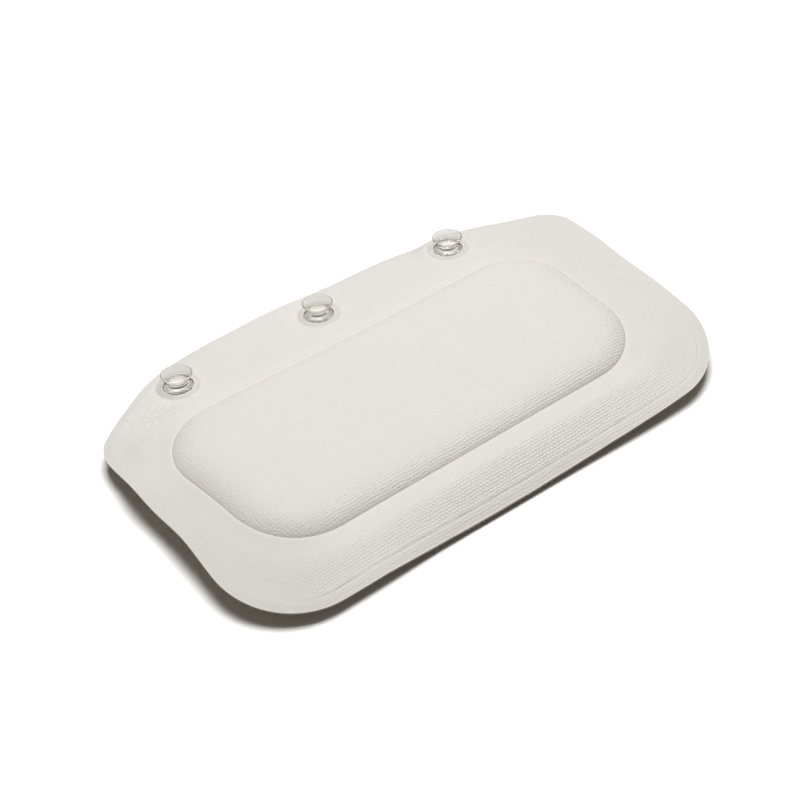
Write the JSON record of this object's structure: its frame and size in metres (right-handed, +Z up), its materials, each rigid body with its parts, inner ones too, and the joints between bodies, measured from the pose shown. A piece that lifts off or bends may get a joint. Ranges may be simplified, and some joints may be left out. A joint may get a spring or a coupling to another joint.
{
  "type": "bath pillow",
  "caption": "Soft welded bath pillow with a crowned head pad, a padded border and a thin folding flap that carries clear suction cups, lying on its back.",
  "frame": {"origin": "on the plane that the pillow lies on, under the middle of the whole pillow, flap included", "axes": "+X along the pillow to the right end, +Y from the front edge to the flap, +Z up through the head pad"},
  "size_m": [0.356, 0.215, 0.0238],
  "materials": {
    "front_sheet": "soft foamed PVC, matte, fine knit-like ribs",
    "back_sheet": "soft PVC, matte, smooth",
    "foam": "open-cell polyurethane foam",
    "clear_cup": "clear soft PVC, glossy"
  },
  "bodies": {
    "pillow": {"front_cover": "front_sheet", "back_cover": "back_sheet", "core_foam": "foam", "border_foam": "foam"},
    "flap": {"flap_front_sheet": "front_sheet", "flap_back_sheet": "back_sheet", "suction_stem_left": "clear_cup", "suction_stem_middle": "clear_cup", "suction_stem_right": "clear_cup"},
    "bell_left": {"suction_bell_left": "clear_cup"},
    "bell_middle": {"suction_bell_middle": "clear_cup"},
    "bell_right": {"suction_bell_right": "clear_cup"}
  },
  "joints": [
    {"name": "flap_fold", "type": "hinge", "parent": "pillow", "child": "flap", "pos_m": [0, 0.06948, 0.01165], "axis": [1, 0, 0], "range_deg": [-150, 90], "stiffness_Nm_per_rad": 0.4, "springref_deg": 1.03},
    {"name": "cup_press_left", "type": "slide", "parent": "flap", "child": "bell_left", "axis": [0, -0.1219, -0.9925], "range_m": [0, 0.0035], "stiffness_N_per_m": 1500, "deforming": ["suction_bell_left"]},
    {"name": "cup_press_middle", "type": "slide", "parent": "flap", "child": "bell_middle", "axis": [0, -0.1219, -0.9925], "range_m": [0, 0.0035], "stiffness_N_per_m": 1500, "deforming": ["suction_bell_middle"]},
    {"name": "cup_press_right", "type": "slide", "parent": "flap", "child": "bell_right", "axis": [0, -0.1219, -0.9925], "range_m": [0, 0.0035], "stiffness_N_per_m": 1500, "deforming": ["suction_bell_right"]}
  ]
}
